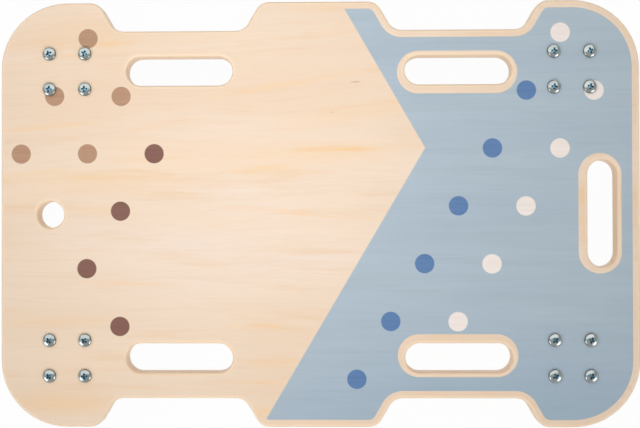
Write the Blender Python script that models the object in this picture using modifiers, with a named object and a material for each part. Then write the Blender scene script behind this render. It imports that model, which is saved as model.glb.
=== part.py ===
"""A roller board: a plywood deck with hand slots, carried by four swivel castors.

Metres, +Z up. The origin lies on the floor under the middle of the deck. +X runs along the deck,
away from the rope hole, and +Y runs across it. The castors are named by where they sit: left and
right along X, front and back along Y.
"""

import math

import bmesh
import bpy
from mathutils import Matrix, Vector

# Fits
SEAT_GAP = 0.0003
BORE_GAP = 0.0003
WELD_DISTANCE = 0.00001
FILLET_LIMIT = 0.45

# Deck
DECK_LENGTH = 0.600
DECK_WIDTH = 0.400
DECK_THICKNESS = 0.018
CORNER_RADIUS = 0.063
EDGE_ROUND = 0.0025
NOTCH_FLOOR = 0.122
NOTCH_DEPTH = 0.027
NOTCH_SLOPE = math.radians(60)
NOTCH_FILLET = 0.0145

# Hand slots and rope hole
SLOT_LENGTH = 0.100
SLOT_WIDTH = 0.027
SLOT_TO_CASTOR = 0.106
GRIP_WIDTH = 0.0245
END_GRIP_WIDTH = 0.0215
ROPE_HOLE_DIAMETER = 0.025
ROPE_HOLE_ROUND = 0.0025
ROPE_HOLE_INSET = 0.047

# Castor places
CASTOR_INSET_X = 0.063
CASTOR_INSET_Y = 0.065
CASTOR_HEADING = math.radians(90)
TRAIL = 0.020

# Screws and nuts
SCREW_DIAMETER = 0.006
HEAD_LIP = 0.0034
HEAD_RIM = 0.0010
HEAD_DOME = 0.0026
RECESS_SPAN = 0.0062
RECESS_WIDTH = 0.0016
RECESS_DEPTH = 0.0018
NUT_WALL = 0.002
NUT_HEIGHT = 0.006
SCREW_STICKOUT = 0.0015

# Top plate and kingpin
PLATE_SIZE = 0.050
PLATE_CORNER = 0.006
PLATE_THICKNESS = 0.0025
SCREW_INSET = 0.00825
KINGPIN_DIAMETER = 0.008
KINGPIN_TOP_LIP = 0.002
KINGPIN_TOP_HEIGHT = 0.001
KINGPIN_FOOT_LIP = 0.0035
KINGPIN_FOOT_HEIGHT = 0.0022
RIVET_CHAMFER = 0.001

# Ball race
BALL_DIAMETER = 0.005
BALL_SPACING = 0.0009
RACE_INSET = 0.0055
RACE_DEPTH = 0.0012

# Fork
NUT_CLEARANCE = 0.001
CROWN_THICKNESS = 0.0025
CROWN_CHAMFER = 0.0008
FORK_HEADROOM = 0.0121
LEG_THICKNESS = 0.0022
LEG_SHOULDER = 0.0009
KNEE_DROP = 0.0035
EYE_WALL = 0.0042

# Wheel and axle
WHEEL_DIAMETER = 0.050
TYRE_WIDTH = 0.018
TYRE_DEPTH = 0.006
SHOULDER_WIDTH = 0.004
SHOULDER_DROP = 0.0035
TONGUE_WIDTH = 0.006
TONGUE_HEIGHT = 0.0015
TYRE_CLEARANCE = 0.0013
RIM_DEPTH = 0.0045
WEB_THICKNESS = 0.006
BOSS_WALL = 0.0037
AXLE_DIAMETER = 0.008
AXLE_HEAD_LIP = 0.00225
AXLE_HEAD_HEIGHT = 0.002

# Smoothness of round shapes
ARC_SAG = 0.0003
EDGE_RESOLUTION = 1
NUT_SIDES = 6
SMALL_SIDES = 12
ROUND_SIDES = 16
RACE_SIDES = 24
TYRE_SIDES = 28
DOME_STEPS = 2
BALL_SEGMENTS = 6
BALL_RINGS = 4
SHARP_ANGLE = math.radians(35)

# Heights, from the floor up
AXLE_LEVEL = WHEEL_DIAMETER / 2
CROWN_BOTTOM = WHEEL_DIAMETER + FORK_HEADROOM
CROWN_TOP = CROWN_BOTTOM + CROWN_THICKNESS
BALL_LEVEL = CROWN_TOP - RACE_DEPTH + BALL_DIAMETER / 2
PLATE_BOTTOM = BALL_LEVEL + BALL_DIAMETER / 2 + SEAT_GAP - RACE_DEPTH
PLATE_TOP = PLATE_BOTTOM + PLATE_THICKNESS
DECK_BOTTOM = PLATE_TOP + SEAT_GAP
DECK_TOP = DECK_BOTTOM + DECK_THICKNESS
NUT_TOP = PLATE_BOTTOM - SEAT_GAP
NUT_BOTTOM = NUT_TOP - NUT_HEIGHT
SCREW_TIP = NUT_BOTTOM - SCREW_STICKOUT

# Places and radii shared by pieces that fit together
CASTOR_X = DECK_LENGTH / 2 - CASTOR_INSET_X
CASTOR_Y = DECK_WIDTH / 2 - CASTOR_INSET_Y
GRIP_X = CASTOR_X - SLOT_TO_CASTOR
SCREW_REACH = PLATE_SIZE / 2 - SCREW_INSET
SCREW_RADIUS = SCREW_DIAMETER / 2
SCREW_BORE = SCREW_RADIUS + BORE_GAP
NUT_RADIUS = (SCREW_RADIUS + NUT_WALL) / math.cos(math.pi / NUT_SIDES)
CROWN_RADIUS = SCREW_REACH * math.sqrt(2) - NUT_RADIUS - NUT_CLEARANCE
RACE_RADIUS = CROWN_RADIUS - RACE_INSET
KINGPIN_RADIUS = KINGPIN_DIAMETER / 2
KINGPIN_BORE = KINGPIN_RADIUS + BORE_GAP
AXLE_RADIUS = AXLE_DIAMETER / 2
AXLE_BORE = AXLE_RADIUS + BORE_GAP
LEG_INNER = TYRE_WIDTH / 2 + TYRE_CLEARANCE
LEG_OUTER = LEG_INNER + LEG_THICKNESS

# The turn of each screw's cross recess, in degrees, corner by corner
SCREW_TURNS = {
    ("left", "front"): (40, 4, 35, 56),
    ("left", "back"): (80, 2, 26, 68),
    ("right", "front"): (30, 65, 40, 68),
    ("right", "back"): (85, 75, 0, 18),
}


def clear_scene():
    """Removes whatever the file opened with."""
    for old in list(bpy.data.objects):
        bpy.data.objects.remove(old)


def new_collection(name):
    """A collection of this name in the scene."""
    collection = bpy.data.collections.new(name)
    bpy.context.scene.collection.children.link(collection)
    return collection


def linear(red, green, blue):
    """A colour given in 0 to 255 steps, as linear light."""
    return tuple((channel / 255) ** 2.2 for channel in (red, green, blue)) + (1.0,)


def new_material(name, colour, roughness, metallic=0.0):
    """A plain Principled material."""
    material = bpy.data.materials.new(name)
    material.use_nodes = True
    shader = material.node_tree.nodes["Principled BSDF"]
    shader.inputs["Base Color"].default_value = colour
    shader.inputs["Roughness"].default_value = roughness
    shader.inputs["Metallic"].default_value = metallic
    return material


def baked(obj):
    """The object's evaluated mesh, welded and facing out. The object itself is removed."""
    bpy.context.view_layer.update()
    graph = bpy.context.evaluated_depsgraph_get()
    mesh = bpy.data.meshes.new_from_object(obj.evaluated_get(graph))
    mesh.transform(obj.matrix_world)
    shape = bmesh.new()
    shape.from_mesh(mesh)
    bmesh.ops.remove_doubles(shape, verts=shape.verts, dist=WELD_DISTANCE)
    bmesh.ops.recalc_face_normals(shape, faces=shape.faces)
    shape.to_mesh(mesh)
    shape.free()
    mesh.materials.clear()
    bpy.data.objects.remove(obj)
    return mesh


def helper(name, data):
    """A construction object, which stays out of the finished part."""
    obj = bpy.data.objects.new(name, data)
    obj.hide_render = True
    obj.display_type = "WIRE"
    helpers.objects.link(obj)
    return obj


def combined(mesh, others, operation):
    """The mesh after a Boolean with each of the other meshes in turn."""
    body = helper("body", mesh)
    tools = [helper("tool", other) for other in others]
    for tool in tools:
        boolean = body.modifiers.new(operation.title(), "BOOLEAN")
        boolean.operation = operation
        boolean.object = tool
    result = baked(body)
    for tool in tools:
        bpy.data.objects.remove(tool)
    return result


def joined(meshes):
    """Several separate meshes as one, for cutting or joining them in one go."""
    shape = bmesh.new()
    for mesh in meshes:
        shape.from_mesh(mesh)
    result = bpy.data.meshes.new("joined")
    shape.to_mesh(result)
    shape.free()
    return result


def moved(mesh, x=0.0, y=0.0, z=0.0):
    """A shifted copy of the mesh."""
    copy = mesh.copy()
    copy.transform(Matrix.Translation((x, y, z)))
    return copy


def turned(profile, sides, closed=False):
    """A solid turned about Z from (radius, height) points that run down its outer side."""
    shape = bmesh.new()
    points = [shape.verts.new((radius, 0.0, height)) for radius, height in profile]
    for start, end in zip(points, points[1:]):
        shape.edges.new((start, end))
    if closed:
        shape.edges.new((points[-1], points[0]))
    mesh = bpy.data.meshes.new("profile")
    shape.to_mesh(mesh)
    shape.free()
    obj = helper("turned", mesh)
    screw = obj.modifiers.new("Turn", "SCREW")
    screw.steps = sides
    screw.render_steps = sides
    screw.use_merge_vertices = True
    screw.merge_threshold = WELD_DISTANCE
    return baked(obj)


def extruded(outlines, bottom, height, edge_round=0.0):
    """A flat solid from an outer outline and its holes, with both its edges rounded alike."""
    curve = bpy.data.curves.new("outline", "CURVE")
    curve.dimensions = "2D"
    curve.fill_mode = "BOTH"
    curve.extrude = height / 2 - edge_round
    curve.bevel_depth = edge_round
    curve.bevel_resolution = EDGE_RESOLUTION
    curve.offset = -edge_round
    for outline in outlines:
        spline = curve.splines.new("POLY")
        spline.points.add(len(outline) - 1)
        for point, (x, y) in zip(spline.points, outline):
            point.co = (x, y, 0.0, 1.0)
        spline.use_cyclic_u = True
    obj = helper("outline", curve)
    obj.location.z = bottom + height / 2
    return evened(baked(obj))


def evened(mesh):
    """The mesh with its two flat caps cut into well-shaped triangles."""
    shape = bmesh.new()
    shape.from_mesh(mesh)
    for level in (min(vert.co.z for vert in shape.verts), max(vert.co.z for vert in shape.verts)):
        cap = [face for face in shape.faces
               if all(abs(vert.co.z - level) < WELD_DISTANCE for vert in face.verts)]
        inner = [edge for edge in shape.edges if all(face in cap for face in edge.link_faces)]
        bmesh.ops.beautify_fill(shape, faces=cap, edges=inner, method="ANGLE")
    bmesh.ops.recalc_face_normals(shape, faces=shape.faces)
    shape.to_mesh(mesh)
    shape.free()
    return mesh


def arc(centre, start, turn):
    """Points on an arc about the centre, from the start point through the turn."""
    spoke = Vector(start) - Vector(centre)
    step = 2 * math.acos(1 - min(ARC_SAG / spoke.length, 1.0))
    steps = max(2, math.ceil(abs(turn) / step))
    turns = [Matrix.Rotation(turn * index / steps, 2) for index in range(steps + 1)]
    return [Vector(centre) + rotation @ spoke for rotation in turns]


def rounded(corners):
    """An outline through (x, y, radius) corners, each turned on an arc of its radius."""
    points = []
    for index, (x, y, radius) in enumerate(corners):
        corner = Vector((x, y))
        before = (Vector(corners[index - 1][:2]) - corner).normalized()
        after = (Vector(corners[(index + 1) % len(corners)][:2]) - corner).normalized()
        half_angle = before.angle(after) / 2
        centre = corner + (before + after).normalized() * radius / math.sin(half_angle)
        start = corner + before * radius / math.tan(half_angle)
        turn = math.pi - 2 * half_angle
        points += arc(centre, start, math.copysign(turn, after.cross(before)))
    return points


def stadium(x, y, length, width, quarter_turn=False):
    """A slot outline with half-round ends."""
    reach = (length - width) / 2
    points = arc((reach, 0), (reach, -width / 2), math.pi)
    points += arc((-reach, 0), (-reach, width / 2), math.pi)
    if quarter_turn:
        points = [Vector((-point.y, point.x)) for point in points]
    return [point + Vector((x, y)) for point in points]


def polygon(x, y, radius, sides):
    """A regular outline: a hole, or a nut's six corners."""
    angles = [math.tau * index / sides for index in range(sides)]
    return [(x + radius * math.cos(angle), y + radius * math.sin(angle)) for angle in angles]


def cylinder(radius, bottom, top, sides):
    """A plain round cutter between two heights."""
    return turned([(0, top), (radius, top), (radius, bottom), (0, bottom)], sides)


def screw_places():
    """The four screw places round a castor's swivel axis."""
    return [(x, y) for y in (-SCREW_REACH, SCREW_REACH) for x in (-SCREW_REACH, SCREW_REACH)]


def castor_corners():
    """The name and swivel place of each castor."""
    for side, x in (("left", -CASTOR_X), ("right", CASTOR_X)):
        for depth, y in (("front", -CASTOR_Y), ("back", CASTOR_Y)):
            yield side, depth, x, y


def deck_outline():
    """The deck's outline, with two sloped notches in each long edge."""
    half_length = DECK_LENGTH / 2
    half_width = DECK_WIDTH / 2
    floor = NOTCH_FLOOR / 2
    mouth = floor + NOTCH_DEPTH / math.tan(NOTCH_SLOPE)
    corners = []
    for side in (1, -1):
        edge = side * half_width
        recess = side * (half_width - NOTCH_DEPTH)
        corners.append((side * half_length, edge, CORNER_RADIUS))
        for notch in (side * GRIP_X, -side * GRIP_X):
            corners.append((notch + side * mouth, edge, NOTCH_FILLET))
            corners.append((notch + side * floor, recess, NOTCH_FILLET))
            corners.append((notch - side * floor, recess, NOTCH_FILLET))
            corners.append((notch - side * mouth, edge, NOTCH_FILLET))
        corners.append((-side * half_length, edge, CORNER_RADIUS))
    return rounded(corners)


def slot_outlines():
    """Two hand slots behind each long edge's notches, and one across the right end."""
    slot_y = DECK_WIDTH / 2 - NOTCH_DEPTH - GRIP_WIDTH - SLOT_WIDTH / 2
    end_x = DECK_LENGTH / 2 - END_GRIP_WIDTH - SLOT_WIDTH / 2
    slots = [stadium(end_x, 0, SLOT_LENGTH, SLOT_WIDTH, quarter_turn=True)]
    for x in (-GRIP_X, GRIP_X):
        for y in (-slot_y, slot_y):
            slots.append(stadium(x, y, SLOT_LENGTH, SLOT_WIDTH))
    return slots


def through_deck(radius, rim_round, sides):
    """A cutter for a hole through the deck, with both its rims rounded."""
    below = DECK_BOTTOM - DECK_THICKNESS
    above = DECK_TOP + DECK_THICKNESS
    rim = [(radius + rim_round * (1 - math.cos(angle)), rim_round * (1 - math.sin(angle)))
           for angle in (math.radians(90), math.radians(45), 0.0)]
    profile = [(0, above), (radius + rim_round, above)]
    profile += [(out, DECK_TOP - down) for out, down in rim]
    profile += [(out, DECK_BOTTOM + down) for out, down in reversed(rim)]
    profile += [(radius + rim_round, below), (0, below)]
    return turned(profile, sides)


def deck_mesh():
    """The deck: outline and slots with rounded edges, then the rope hole and the screw holes."""
    most_round = DECK_THICKNESS * FILLET_LIMIT
    outlines = [deck_outline()] + slot_outlines()
    board = extruded(outlines, DECK_BOTTOM, DECK_THICKNESS, min(EDGE_ROUND, most_round))
    rope_hole = through_deck(ROPE_HOLE_DIAMETER / 2, min(ROPE_HOLE_ROUND, most_round), ROUND_SIDES)
    rope_hole = moved(rope_hole, x=ROPE_HOLE_INSET - DECK_LENGTH / 2)
    screw_hole = cylinder(SCREW_BORE, DECK_BOTTOM - DECK_THICKNESS, DECK_TOP + DECK_THICKNESS, SMALL_SIDES)
    screw_holes = []
    for _, _, castor_x, castor_y in castor_corners():
        for x, y in screw_places():
            screw_holes.append(moved(screw_hole, castor_x + x, castor_y + y))
    return combined(board, [rope_hole, joined(screw_holes)], "DIFFERENCE")


def screw_mesh():
    """A pan-head machine screw with a cross recess, through the deck, plate and nut."""
    seat = DECK_TOP + SEAT_GAP
    top = seat + HEAD_RIM + HEAD_DOME
    head = SCREW_RADIUS + HEAD_LIP
    profile = []
    for step in range(DOME_STEPS + 1):
        angle = math.pi / 2 * step / DOME_STEPS
        profile.append((head * math.sin(angle), seat + HEAD_RIM + HEAD_DOME * math.cos(angle)))
    profile += [(head, seat), (SCREW_RADIUS, seat), (SCREW_RADIUS, SCREW_TIP), (0, SCREW_TIP)]
    recess = extruded([cross_outline()], top - RECESS_DEPTH, 2 * RECESS_DEPTH)
    return combined(turned(profile, SMALL_SIDES), [recess], "DIFFERENCE")


def cross_outline():
    """The outline of a screw's cross recess."""
    arm = RECESS_SPAN / 2
    half = RECESS_WIDTH / 2
    points = []
    for quarter in range(4):
        rotation = Matrix.Rotation(quarter * math.pi / 2, 2)
        points += [rotation @ Vector(corner) for corner in ((half, half), (half, arm), (-half, arm))]
    return points


def nut_mesh():
    """A hexagon nut under the top plate."""
    outlines = [polygon(0, 0, NUT_RADIUS, NUT_SIDES), polygon(0, 0, SCREW_BORE, SMALL_SIDES)]
    return extruded(outlines, NUT_BOTTOM, NUT_HEIGHT)


def race_cutter():
    """A ring of the ball race's section, with room round the balls."""
    section = BALL_DIAMETER / 2 + SEAT_GAP
    angles = [-math.tau * index / SMALL_SIDES for index in range(SMALL_SIDES)]
    profile = [(RACE_RADIUS + section * math.cos(angle), BALL_LEVEL + section * math.sin(angle))
               for angle in angles]
    return turned(profile, RACE_SIDES, closed=True)


def top_plate_mesh():
    """The castor's fixing plate: four screw holes, a countersunk kingpin hole and a ball track."""
    half = PLATE_SIZE / 2
    outer = rounded([(x * half, y * half, PLATE_CORNER) for x, y in ((1, 1), (-1, 1), (-1, -1), (1, -1))])
    holes = [polygon(x, y, SCREW_BORE, SMALL_SIDES) for x, y in screw_places()]
    plate = extruded([outer] + holes, PLATE_BOTTOM, PLATE_THICKNESS)
    above = PLATE_TOP + PLATE_THICKNESS
    below = PLATE_BOTTOM - PLATE_THICKNESS
    mouth = KINGPIN_BORE + KINGPIN_TOP_LIP
    profile = [(0, above), (mouth, above), (mouth, PLATE_TOP),
               (KINGPIN_BORE, PLATE_TOP - KINGPIN_TOP_HEIGHT), (KINGPIN_BORE, below), (0, below)]
    return combined(plate, [turned(profile, ROUND_SIDES), race_cutter()], "DIFFERENCE")


def kingpin_mesh():
    """The swivel rivet: flush in the plate above, peened into a wide foot under the crown."""
    foot = KINGPIN_RADIUS + KINGPIN_FOOT_LIP
    foot_top = CROWN_BOTTOM - SEAT_GAP
    foot_bottom = foot_top - KINGPIN_FOOT_HEIGHT
    profile = [(0, PLATE_TOP), (KINGPIN_RADIUS + KINGPIN_TOP_LIP, PLATE_TOP),
               (KINGPIN_RADIUS, PLATE_TOP - KINGPIN_TOP_HEIGHT), (KINGPIN_RADIUS, foot_top),
               (foot, foot_top), (foot, foot_bottom + RIVET_CHAMFER),
               (foot - RIVET_CHAMFER, foot_bottom), (0, foot_bottom)]
    return turned(profile, ROUND_SIDES)


def leg_mesh():
    """One fork leg, in the XZ plane: straight past the nuts, then back to the axle eye."""
    half = math.sqrt(CROWN_RADIUS ** 2 - LEG_OUTER ** 2) - LEG_SHOULDER
    top = CROWN_BOTTOM + CROWN_THICKNESS / 2
    knee = SCREW_TIP - KNEE_DROP
    eye = Vector((-TRAIL, AXLE_LEVEL))
    radius = AXLE_BORE + EYE_WALL
    contact = {}
    for side in (-1, 1):
        to_knee = Vector((side * half, knee)) - eye
        lean = math.atan2(to_knee.y, to_knee.x)
        contact[side] = lean - side * math.acos(radius / to_knee.length)
    start = eye + Matrix.Rotation(contact[-1], 2) @ Vector((radius, 0))
    outline = [(half, knee), (half, top), (-half, top), (-half, knee)]
    outline += arc(eye, start, contact[1] - contact[-1] + math.tau)
    leg = extruded([outline, polygon(eye.x, eye.y, AXLE_BORE, ROUND_SIDES)], 0, LEG_THICKNESS)
    leg.transform(Matrix.Rotation(math.pi / 2, 4, "X"))
    return leg


def ball_ring():
    """The balls, spread evenly round the race."""
    count = int(math.tau * RACE_RADIUS / (BALL_DIAMETER + BALL_SPACING))
    shape = bmesh.new()
    for index in range(count):
        spoke = Matrix.Rotation(math.tau * index / count, 4, "Z")
        spot = spoke @ Matrix.Translation((RACE_RADIUS, 0, BALL_LEVEL))
        bmesh.ops.create_uvsphere(shape, u_segments=BALL_SEGMENTS, v_segments=BALL_RINGS,
                                  radius=BALL_DIAMETER / 2, matrix=spot)
    mesh = bpy.data.meshes.new("balls")
    shape.to_mesh(mesh)
    shape.free()
    return mesh


def fork_mesh():
    """The pressed fork: a round crown, two legs and the balls that lie in its track."""
    crown = turned([(CROWN_RADIUS - CROWN_CHAMFER, CROWN_TOP), (CROWN_RADIUS, CROWN_TOP - CROWN_CHAMFER),
                    (CROWN_RADIUS, CROWN_BOTTOM), (KINGPIN_BORE, CROWN_BOTTOM), (KINGPIN_BORE, CROWN_TOP)],
                   ROUND_SIDES, closed=True)
    leg = leg_mesh()
    legs = [moved(leg, y=-LEG_INNER), moved(leg, y=LEG_OUTER)]
    return combined(crown, [joined(legs), ball_ring()], "UNION")


def laid_on_axle(mesh, sides):
    """A mesh turned about Z, laid along Y with a flat of its rim facing down."""
    mesh.transform(Matrix.Rotation(math.pi / sides, 4, "Z"))
    mesh.transform(Matrix.Rotation(math.pi / 2, 4, "X"))
    return mesh


def mirrored(upper):
    """A profile's upper half followed by its mirror image below."""
    return upper + [(radius, -height) for radius, height in reversed(upper)]


def axle_mesh():
    """The riveted axle, with a head outside each leg."""
    head = AXLE_RADIUS + AXLE_HEAD_LIP
    inner = LEG_OUTER + SEAT_GAP
    outer = inner + AXLE_HEAD_HEIGHT
    upper = [(0, outer), (head - RIVET_CHAMFER, outer), (head, outer - RIVET_CHAMFER),
             (head, inner), (AXLE_RADIUS, inner)]
    return laid_on_axle(turned(mirrored(upper), ROUND_SIDES), ROUND_SIDES)


def hub_mesh():
    """The wheel centre: a boss on the axle, a thin web and a rim with a groove for the tyre."""
    boss = AXLE_BORE + BOSS_WALL
    half_boss = LEG_INNER - SEAT_GAP
    half_web = WEB_THICKNESS / 2
    rim = WHEEL_DIAMETER / 2 - TYRE_DEPTH - BORE_GAP
    rim_inner = rim - RIM_DEPTH
    half_rim = TYRE_WIDTH / 2 - SEAT_GAP
    half_groove = TONGUE_WIDTH / 2 + SEAT_GAP
    upper = [(AXLE_BORE, half_boss), (boss, half_boss), (boss, half_web), (rim_inner, half_web),
             (rim_inner, half_rim), (rim, half_rim), (rim, half_groove), (rim - TONGUE_HEIGHT, half_groove)]
    return laid_on_axle(turned(mirrored(upper), ROUND_SIDES, closed=True), ROUND_SIDES)


def tyre_mesh():
    """The tyre: a flat tread, sloped shoulders and an inner tongue that keys into the rim."""
    inner = WHEEL_DIAMETER / 2 - TYRE_DEPTH
    tread = WHEEL_DIAMETER / 2 / math.cos(math.pi / TYRE_SIDES)
    half = TYRE_WIDTH / 2
    half_tongue = TONGUE_WIDTH / 2
    upper = [(inner - TONGUE_HEIGHT, half_tongue), (inner, half_tongue), (inner, half),
             (tread - SHOULDER_DROP, half), (tread, half - SHOULDER_WIDTH)]
    return laid_on_axle(turned(mirrored(upper), TYRE_SIDES, closed=True), TYRE_SIDES)


def place(name, mesh, material, parent=None, location=(0, 0, 0), turn=0.0):
    """A finished piece as an object of its own."""
    if not mesh.materials:
        mesh.materials.append(material)
        mesh.shade_smooth()
        mesh.set_sharp_from_angle(angle=SHARP_ANGLE)
    obj = bpy.data.objects.new(name, mesh)
    obj.location = location
    obj.rotation_euler.z = turn
    obj.parent = parent
    parts.objects.link(obj)
    return obj


def axis_empty(name, location, parent=None, turn=0.0):
    """An empty on a joint's axis, which carries what turns about it."""
    empty = bpy.data.objects.new(name, None)
    empty.location = location
    empty.rotation_euler.z = turn
    empty.parent = parent
    parts.objects.link(empty)
    return empty


def build():
    """Builds every piece and places it."""
    plywood = new_material("plywood", linear(244, 218, 193), 0.55)
    screw_zinc = new_material("screw_zinc", linear(190, 196, 202), 0.32, 1.0)
    nut_zinc = new_material("nut_zinc", linear(182, 186, 190), 0.35, 1.0)
    plate_steel = new_material("plate_steel", linear(176, 180, 184), 0.38, 1.0)
    pin_steel = new_material("pin_steel", linear(168, 171, 174), 0.34, 1.0)
    fork_steel = new_material("fork_steel", linear(180, 184, 188), 0.36, 1.0)
    axle_steel = new_material("axle_steel", linear(170, 173, 176), 0.34, 1.0)
    hub_plastic = new_material("hub_plastic", linear(214, 214, 210), 0.5)
    tyre_rubber = new_material("tyre_rubber", linear(120, 122, 124), 0.8)

    place("deck", deck_mesh(), plywood)

    screw = screw_mesh()
    nut = nut_mesh()
    top_plate = top_plate_mesh()
    kingpin = kingpin_mesh()
    fork = fork_mesh()
    axle = axle_mesh()
    hub = hub_mesh()
    tyre = tyre_mesh()
    for side, depth, x, y in castor_corners():
        corner = f"{side}_{depth}"
        for index, (screw_x, screw_y) in enumerate(screw_places()):
            spot = (x + screw_x, y + screw_y, 0)
            turn = math.radians(SCREW_TURNS[side, depth][index])
            place(f"{corner}_screw_{index + 1}", screw, screw_zinc, location=spot, turn=turn)
            place(f"{corner}_nut_{index + 1}", nut, nut_zinc, location=spot, turn=turn)
        place(f"{corner}_top_plate", top_plate, plate_steel, location=(x, y, 0))
        place(f"{corner}_kingpin", kingpin, pin_steel, location=(x, y, 0))
        swivel = axis_empty(f"{corner}_swivel_axis", (x, y, 0), turn=CASTOR_HEADING)
        place(f"{corner}_fork", fork, fork_steel, parent=swivel)
        wheel = axis_empty(f"{corner}_wheel_axis", (-TRAIL, 0, AXLE_LEVEL), parent=swivel)
        place(f"{corner}_axle", axle, axle_steel, parent=wheel)
        place(f"{corner}_wheel_hub", hub, hub_plastic, parent=wheel)
        place(f"{corner}_tyre", tyre, tyre_rubber, parent=wheel)


clear_scene()
parts = new_collection("roller_board")
helpers = new_collection("helpers")
build()
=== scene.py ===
"""The looks of a roller board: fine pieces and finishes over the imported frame, in their light."""

import math

import bmesh
import bpy
from mathutils import Matrix, Vector


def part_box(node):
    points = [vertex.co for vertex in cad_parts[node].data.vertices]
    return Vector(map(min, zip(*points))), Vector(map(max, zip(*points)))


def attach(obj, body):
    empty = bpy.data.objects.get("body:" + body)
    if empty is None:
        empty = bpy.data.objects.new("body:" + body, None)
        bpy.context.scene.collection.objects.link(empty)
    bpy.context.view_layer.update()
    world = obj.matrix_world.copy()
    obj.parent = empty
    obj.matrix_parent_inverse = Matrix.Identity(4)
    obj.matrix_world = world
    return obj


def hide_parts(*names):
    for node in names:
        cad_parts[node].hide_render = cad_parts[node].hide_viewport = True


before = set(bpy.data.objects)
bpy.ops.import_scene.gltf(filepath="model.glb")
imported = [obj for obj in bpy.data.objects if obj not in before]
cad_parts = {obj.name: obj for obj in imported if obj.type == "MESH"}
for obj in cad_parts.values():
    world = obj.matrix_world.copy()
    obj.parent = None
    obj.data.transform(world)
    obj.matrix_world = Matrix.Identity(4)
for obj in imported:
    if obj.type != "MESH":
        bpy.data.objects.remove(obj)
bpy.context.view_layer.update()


def linear(red, green, blue):
    """A colour given in 0 to 255 steps, as linear light."""
    steps = [channel / 255 for channel in (red, green, blue)]
    light = [step / 12.92 if step <= 0.04045 else ((step + 0.055) / 1.055) ** 2.4 for step in steps]
    return (*light, 1.0)


def grey(level):
    """A neutral colour of this much linear light."""
    return (level, level, level, 1.0)


CORNERS = ("left_front", "left_back", "right_front", "right_back")

# Fineness of the meshes
ROUND_STEPS = 10
DOME_STEPS = 12
ARC_STEP = math.radians(4)
SHARP_ANGLE = math.radians(35)
SMALL_SIDES = 48
HUB_SIDES = 72
LARGE_SIDES = 96
SAME_POINT = 0.000001

# Deck, in metres
DECK_LOW, DECK_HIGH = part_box("deck")
HALF_LENGTH = DECK_HIGH.x
HALF_WIDTH = DECK_HIGH.y
CORNER_RADIUS = 0.063
EDGE_ROUND = 0.0025
EDGE_FLAT = 0.0004
NOTCH_HALF_FLOOR = 0.061
NOTCH_DEPTH = 0.027
NOTCH_SLOPE = math.radians(60)
NOTCH_FILLET = 0.0145
GRIP_X = 0.131
SLOT_LENGTH = 0.100
SLOT_WIDTH = 0.027
SLOT_Y = 0.135
END_SLOT_X = 0.265
ROPE_HOLE_X = -0.253
ROPE_HOLE_RADIUS = 0.0125
SCREW_HOLE_RADIUS = 0.0033
PLY = 0.002
TOP, EDGE, UNDERSIDE, BARE_MARGIN = range(4)

# Print on the top
MARGIN = 0.0072
GAP_LENGTH = 0.1125
GAP_WIDTH = 0.0401
GAP_X = 0.130
GAP_Y = 0.1328
END_GAP_X = 0.2627
FIELD_TIP = (0.1000, 0.0618)
BACK_SLOPE = math.radians(60.1)
FRONT_SLOPE = math.radians(59.5)
PRINT_SOFTNESS = 0.00035
DOT_RADIUS = 0.0091

# Inks of the dots: rows of (first dot, step, count) in millimetres, the ink, and the ink over the grain
ROW_STEP = (-31.85, -54.05)
DOT_INKS = (
    ([((-217.2, 166.1), (-31.75, -54.4), 3), ((-186.0, 111.4), ROW_STEP, 2)],
     linear(190, 149, 119), linear(179, 135, 104)),
    ([((-154.8, 57.2), ROW_STEP, 3), ((-187.3, -105.3), ROW_STEP, 1)],
     linear(139, 96, 83), linear(127, 83, 71)),
    ([((194.7, 115.4), ROW_STEP, 6)],
     linear(94, 131, 179), linear(82, 120, 169)),
    ([((226.4, 169.4), ROW_STEP, 1), ((257.6, 115.1), ROW_STEP, 5)],
     linear(250, 239, 231), linear(240, 228, 220)),
)

# Marks in the top veneer and the field, in millimetres: (x, y, half length, half width, lean, share)
AMBER_STREAKS = (
    (-259, 83, 55, 3.0, 0.08, 0.8), (-160, 52, 50, 5.0, 0.05, 0.75), (-268, 39, 48, 4.5, 0.10, 0.7),
    (-50, 43.5, 36, 3.6, 0.05, 0.85), (26, 59.5, 42, 3.2, 0.03, 1.0), (-30, 122, 70, 3.8, 0.17, 0.75),
    (-169, 80, 16, 2.6, 0.05, 0.5), (66, 98, 34, 3.8, 0.22, 0.6), (-16, 0, 92, 2.2, -0.10, 0.6),
    (-176, -65, 50, 4.6, -0.04, 0.55), (-50, -107, 38, 3.2, -0.04, 0.75), (-30, -92, 44, 1.8, 0.04, 0.4),
    (-42, -138, 40, 4.6, 0.04, 0.7), (-59, -158, 36, 2.4, 0.0, 0.7), (-246, -178, 62, 11.0, -0.02, 1.0),
    (-54, -186, 20, 7.0, 0.10, 0.9), (-196, 161, 34, 5.5, 0.05, 0.65), (-206, 4, 44, 4.0, 0.0, 0.4),
    (12, 194, 36, 3.4, 0.0, 0.6), (-238, -100, 64, 4.0, 0.02, 0.55), (-230, -140, 70, 26.0, 0.0, 0.22),
    (-222, 172, 70, 22.0, 0.05, 0.4), (244, 13, 16, 8.0, 0.0, 0.5), (285, 10, 18, 9.0, 0.0, 0.45),
    (262, 2, 44, 50.0, 0.0, 0.25), (-110, 47, 130, 7.0, 0.06, 0.3), (60, 63, 60, 3.0, 0.03, 0.4),
    (-215, 32, 85, 14.0, 0.0, 0.58), (-10, 57, 100, 12.0, 0.03, 0.62), (30, 95, 75, 10.0, 0.15, 0.4),
    (-275, 20, 38, 14.0, 0.0, 0.35), (-130, 60, 110, 12.0, 0.0, 0.3), (48, 54, 28, 9.0, 0.0, 0.4),
    (-13, -194, 60, 8.0, 0.0, 0.45),
)
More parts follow.
